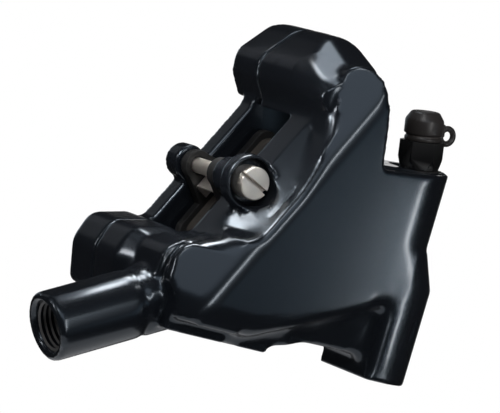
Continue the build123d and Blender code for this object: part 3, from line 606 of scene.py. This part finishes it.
class BodyHalves(bpy.types.Operator):
    """Both painted body halves, as even skins with softly rounded edges"""

    bl_idname = "caliper.body_halves"
    bl_label = "Body halves"

    def execute(self, context):
        voxel = context.scene.caliper_finish.skin_voxel
        for node, name in (("outer_body", "OutboardBody"), ("inner_body", "InboardBody")):
            piece = copied(node, name)
            smoothed_skin(piece, voxel)
            if node == "outer_body":
                pushed(piece, at_flank_foot, FLANK_PUSH, FLANK_PUSH_REACH)
                for chosen, passes in SOFT_PLACES:
                    softened(piece, chosen, passes)
            fitted(piece, "caliper", "painted_body", "paint", node)
        return {"FINISHED"}


class HoseThread(bpy.types.Operator):
    """The thread inside the hose port's mouth"""

    bl_idname = "caliper.hose_thread"
    bl_label = "Hose thread"

    def execute(self, context):
        port = next(m for m in frame["record"]["mounts"] if m["name"] == "hose_port")
        out = Vector(port["axis"])
        length = port["dims"]["length_mm"]
        wall = (port["dims"]["r_mm"] * MM, 0, 0)
        turns = int(length) - 1
        settle()
        bpy.ops.mesh.primitive_circle_add(vertices=3, radius=THREAD_RIDGE * MM, location=wall,
                                          rotation=(math.pi / 2, 0, 0))
        piece = named(bpy.context.object, "HoseThread")
        bpy.ops.object.mode_set(mode="EDIT")
        bpy.ops.mesh.select_all(action="SELECT")
        bpy.ops.transform.rotate(value=math.pi / 2, orient_axis="Y", center_override=wall)
        bpy.ops.object.mode_set(mode="OBJECT")
        bpy.ops.object.transform_apply(location=True, rotation=True, scale=True)
        modify(piece, "Thread", "SCREW", axis="Z", screw_offset=THREAD_PITCH * MM, iterations=turns,
               steps=THREAD_STEPS, render_steps=THREAD_STEPS)
        bpy.ops.object.mode_set(mode="EDIT")
        bpy.ops.mesh.select_all(action="SELECT")
        bpy.ops.mesh.remove_doubles(threshold=THREAD_MERGE_GAP)
        bpy.ops.mesh.normals_make_consistent(inside=False)
        bpy.ops.object.mode_set(mode="OBJECT")
        mouth = Vector(port["pos_m"]) + out * (length / 2 - THREAD_MOUTH_GAP) * MM
        stood(piece, mouth - out * turns * THREAD_PITCH * MM, out.to_track_quat("Z", "Y"))
        bpy.ops.object.shade_smooth_by_angle(angle=ROUNDED_SHARP_ANGLE)
        fitted(piece, "caliper", "pad_steel", "pad steel")
        return {"FINISHED"}


class Fasteners(bpy.types.Operator):
    """Bridge bolts, the pad axle and its clip"""

    bl_idname = "caliper.fasteners"
    bl_label = "Bolts, axle and clip"

    def execute(self, context):
        bevel = context.scene.caliper_finish.edge_bevel
        for node, name, slot_name, look in (
            ("front_bridge_bolt", "FrontBridgeBolt", "black_steel", "black steel"),
            ("rear_bridge_bolt", "RearBridgeBolt", "black_steel", "black steel"),
            ("pad_axle", "PadAxle", "bare_steel", "bare steel"),
            ("pad_axle_clip", "PadAxleClip", "bare_steel", "bare steel"),
        ):
            piece = copied(node, name)
            broken_edges(piece, bevel)
            fitted(piece, "caliper", slot_name, look, node)
        return {"FINISHED"}


class Pads(bpy.types.Operator):
    """Brake pads, their spring, the pistons and the seals"""

    bl_idname = "caliper.pads"
    bl_label = "Pads, pistons and seals"

    def execute(self, context):
        bevel = context.scene.caliper_finish.edge_bevel
        for node, name, body, slot_name, look in (
            ("outer_pad_plate", "OutboardPadPlate", "outer_pad", "pad_steel", "pad steel"),
            ("inner_pad_plate", "InboardPadPlate", "inner_pad", "pad_steel", "pad steel"),
            ("outer_pad_lining", "OutboardLining", "outer_pad", "lining", "lining"),
            ("inner_pad_lining", "InboardLining", "inner_pad", "lining", "lining"),
            ("pad_spring", "PadSpring", "caliper", "bare_steel", "bare steel"),
            ("outer_piston", "OutboardPiston", "outer_piston_body", "piston", "piston"),
            ("inner_piston", "InboardPiston", "inner_piston_body", "piston", "piston"),
            ("outer_piston_seal", "OutboardPistonSeal", "caliper", "seal_rubber", "seal"),
            ("inner_piston_seal", "InboardPistonSeal", "caliper", "seal_rubber", "seal"),
            ("crossover_seal", "CrossoverSeal", "caliper", "seal_rubber", "seal"),
            ("bleed_seal", "BleedSeal", "caliper", "seal_rubber", "seal"),
        ):
            piece = copied(node, name)
            if "seal" in node or node == "pad_spring":
                pick(piece)
                bpy.ops.object.shade_smooth_by_angle(angle=SHARP_ANGLE)
            else:
                broken_edges(piece, bevel)
            fitted(piece, body, slot_name, look, node)
        return {"FINISHED"}


class Nipple(bpy.types.Operator):
    """Bleed nipple with its hexagon"""

    bl_idname = "caliper.nipple"
    bl_label = "Bleed nipple"

    def execute(self, context):
        piece = copied("bleed_nipple", "BleedNipple")
        broken_edges(piece, NIPPLE_EDGE * MM)
        fitted(piece, "nipple", "black_steel", "black steel", "bleed_nipple")
        return {"FINISHED"}


class Cap(bpy.types.Operator):
    """Rubber cap of the bleed nipple, with its bead, its strap and the strap's ring"""

    bl_idname = "caliper.cap"
    bl_label = "Nipple cap"

    def execute(self, context):
        axis = Vector(joints["nipple_turn"]["axis"])
        foot = Vector(joints["nipple_turn"]["pos_m"])
        shell = turned("CapShell", CAP_PROFILE)
        rounded(shell, CAP_EDGE * MM)
        settle()
        bpy.ops.mesh.primitive_torus_add(major_segments=RING_SEGMENTS, minor_segments=RING_WIRE_SEGMENTS,
                                         major_radius=RING_RADIUS * MM, minor_radius=RING_WIRE * MM,
                                         location=[at * MM for at in RING_CENTRE], rotation=(math.pi / 2, 0, 0))
        ring = bpy.context.object
        bpy.ops.object.transform_apply(location=True, rotation=True, scale=True)
        bpy.ops.mesh.primitive_cube_add(size=1, location=[at * MM for at in STRAP_CENTRE])
        strap = bpy.context.object
        strap.scale = [size * MM for size in STRAP_SIZE]
        bpy.ops.object.transform_apply(location=True, rotation=True, scale=True)
        rounded(strap, STRAP_EDGE * MM)
        for part in (ring, strap):
            pick(part)
            bpy.ops.object.shade_smooth()
        piece = joined([shell, ring, strap], "BleedCap")
        lean = Matrix((Vector((axis.z, 0, -axis.x)), Vector((0, 1, 0)), axis)).transposed().to_quaternion()
        stood(piece, foot + axis * CAP_START * MM, lean)
        fitted(piece, "cap", "cap_rubber", "cap rubber", "bleed_cap")
        return {"FINISHED"}


# Stage


def soft_light(name, target, way, reach, width, height, power, colour, spread=OPEN_BEAM):
    """A rectangular lamp that looks at a point from some way off."""
    lamp = bpy.data.lights.new(name, "AREA")
    lamp.shape = "RECTANGLE"
    lamp.size, lamp.size_y = width, height
    lamp.energy = power
    lamp.color = colour
    lamp.spread = math.radians(spread)
    holder = bpy.data.objects.new(name, lamp)
    holder.visible_camera = False
    bpy.context.scene.collection.objects.link(holder)
    holder.location = target + way * reach
    holder.rotation_mode = "QUATERNION"
    holder.rotation_quaternion = (-way).to_track_quat("-Z", "Y")


def matt_surface(name, colour, seen_from_above=False):
    """Plain matt surface with a trace of mottling, clear from below where that is asked for."""
    made, nodes, links, shader = new_material(name)
    set_inputs(shader, {"Roughness": STAGE_ROUGHNESS, "Specular IOR Level": STAGE_SPECULAR})
    grains = add_node(nodes, "ShaderNodeGroup", {"Cloud scale": STAGE_CLOUD}, node_tree=shared("grain"))
    shade = mottled(nodes, colour, STAGE_MOTTLE_SHARE)
    links.new(grains.outputs["Cloud"], shade.inputs["Factor"])
    links.new(shade.outputs["Result"], shader.inputs["Base Color"])
    if seen_from_above:
        geometry = nodes.new("ShaderNodeNewGeometry")
        parts = nodes.new("ShaderNodeSeparateXYZ")
        above = add_node(nodes, "ShaderNodeMath", {1: SEEN_FROM_ABOVE}, operation="GREATER_THAN")
        links.new(geometry.outputs["Normal"], parts.inputs["Vector"])
        links.new(parts.outputs["Z"], above.inputs[0])
        links.new(above.outputs["Value"], shader.inputs["Alpha"])
    return made


def add_floor(look):
    """The round pale floor."""
    settle()
    bpy.ops.mesh.primitive_cylinder_add(vertices=FLOOR_SEGMENTS, radius=look.floor_radius, depth=FLOOR_DEPTH,
                                        location=(*FLOOR_CENTRE, -look.floor_drop - FLOOR_DEPTH / 2))
    floor = bpy.context.object
    floor.name = "Floor"
    rounded(floor, FLOOR_EDGE)
    floor.data.materials.append(matt_surface("Floor", tuple(look.floor_colour), seen_from_above=True))


def add_cards():
    """Black cards all round that only reflections see, open behind the part as the camera sees it."""
    bpy.ops.mesh.primitive_uv_sphere_add(segments=CARDS_SEGMENTS, ring_count=CARDS_RINGS, radius=CARDS_RADIUS,
                                         location=(0, 0, 0))
    cards = bpy.context.object
    cards.name = "Black cards"
    bpy.ops.object.mode_set(mode="EDIT")
    mesh = bmesh.from_edit_mesh(cards.data)
    for face in mesh.faces:
        way = face.calc_center_median().normalized()
        face.select_set(way.dot(VIEW_AHEAD) > math.cos(CARDS_OPENING))
    bmesh.update_edit_mesh(cards.data)
    bpy.ops.mesh.delete(type="FACE")
    bpy.ops.object.mode_set(mode="OBJECT")
    cards.data.materials.append(matt_surface("Black card", CARDS_COLOUR))
    cards.visible_camera = False
    cards.visible_diffuse = False
    cards.visible_shadow = False
    cards.visible_transmission = False


def add_world(scene):
    """White to the camera, to reflections and through clear surfaces, and a soft sky to everything else."""
    world = bpy.data.worlds.new("Studio")
    scene.world = world
    world.use_nodes = True
    nodes, links = world.node_tree.nodes, world.node_tree.links
    back = nodes["Background"]
    path = nodes.new("ShaderNodeLightPath")
    direct = add_node(nodes, "ShaderNodeMath", operation="MAXIMUM")
    glossy = add_node(nodes, "ShaderNodeMath", operation="MAXIMUM")
    links.new(path.outputs["Is Camera Ray"], glossy.inputs[0])
    links.new(path.outputs["Is Glossy Ray"], glossy.inputs[1])
    links.new(glossy.outputs["Value"], direct.inputs[0])
    links.new(path.outputs["Is Transmission Ray"], direct.inputs[1])
    coords = nodes.new("ShaderNodeTexCoord")
    parts = nodes.new("ShaderNodeSeparateXYZ")
    links.new(coords.outputs["Generated"], parts.inputs["Vector"])
    sky = add_node(nodes, "ShaderNodeMapRange", {"From Min": SKY_LOW, "From Max": SKY_HIGH,
                                                 "To Min": SKY_LOW_LEVEL, "To Max": SKY_HIGH_LEVEL})
    links.new(parts.outputs["Z"], sky.inputs["Value"])
    level = add_node(nodes, "ShaderNodeMix", {"B": 1.0}, data_type="FLOAT")
    links.new(direct.outputs["Value"], level.inputs["Factor"])
    links.new(sky.outputs["Result"], level.inputs["A"])
    set_inputs(back, {"Color": (*WHITE, 1)})
    links.new(level.outputs["Result"], back.inputs["Strength"])


def add_lamps(look):
    """The large studio lamps and the small ones for single places."""
    key = ("Key", KEY_WAY, KEY_REACH, KEY_WIDTH, KEY_HEIGHT, look.key_power, KEY_COLOUR)
    for name, way, *values in (key, *STUDIO_LAMPS):
        soft_light(name, LAMP_TARGET, Vector(way).normalized(), *values)
    for name, place, way, *values in SMALL_LAMPS:
        soft_light(name, Vector(place), Vector(way), *values)


def add_camera(scene):
    """The camera that takes the photograph's view."""
    camera = bpy.data.cameras.new("Camera")
    holder = bpy.data.objects.new("Camera", camera)
    scene.collection.objects.link(holder)
    ahead = VIEW_AHEAD.normalized()
    up = VIEW_RIGHT.normalized().cross(ahead).normalized()
    right = ahead.cross(up)
    holder.matrix_world = Matrix(((right.x, up.x, -ahead.x, EYE.x), (right.y, up.y, -ahead.y, EYE.y),
                                  (right.z, up.z, -ahead.z, EYE.z), (0, 0, 0, 1)))
    camera.sensor_width = SENSOR_WIDTH
    camera.lens = LENS
    camera.clip_start, camera.clip_end = CLIP_NEAR, CLIP_FAR
    scene.camera = holder


class Stage(bpy.types.Operator):
    """Floor, cards, world, lamps and camera"""

    bl_idname = "caliper.stage"
    bl_label = "Stage"

    def execute(self, context):
        scene = context.scene
        look = scene.caliper_stage
        add_floor(look)
        add_cards()
        add_world(scene)
        add_lamps(look)
        add_camera(scene)
        scene.view_settings.view_transform = "Standard"
        return {"FINISHED"}


class CaliperPanel(bpy.types.Panel):
    """Lists the caliper's pieces and its stage"""

    bl_idname = "VIEW3D_PT_caliper"
    bl_label = "Brake caliper"
    bl_space_type = "VIEW_3D"
    bl_region_type = "UI"
    bl_category = "Caliper"

    def draw(self, context):
        layout = self.layout
        for operator in OPERATORS:
            layout.operator(operator.bl_idname)
        for group in (context.scene.caliper_finish, context.scene.caliper_stage):
            for name in group.__annotations__:
                layout.prop(group, name)


OPERATORS = (BodyHalves, HoseThread, Fasteners, Pads, Nipple, Cap, Stage)
CLASSES = (CaliperFinish, CaliperStage, *OPERATORS, CaliperPanel)


def register():
    for each in CLASSES:
        bpy.utils.register_class(each)
    bpy.types.Scene.caliper_finish = PointerProperty(type=CaliperFinish)
    bpy.types.Scene.caliper_stage = PointerProperty(type=CaliperStage)


def unregister():
    del bpy.types.Scene.caliper_stage
    del bpy.types.Scene.caliper_finish
    for each in reversed(CLASSES):
        bpy.utils.unregister_class(each)


def main():
    register()
    bpy.ops.caliper.body_halves()
    bpy.ops.caliper.hose_thread()
    bpy.ops.caliper.fasteners()
    bpy.ops.caliper.pads()
    bpy.ops.caliper.nipple()
    bpy.ops.caliper.cap()
    bpy.ops.caliper.stage()


if __name__ == "__main__":
    main()
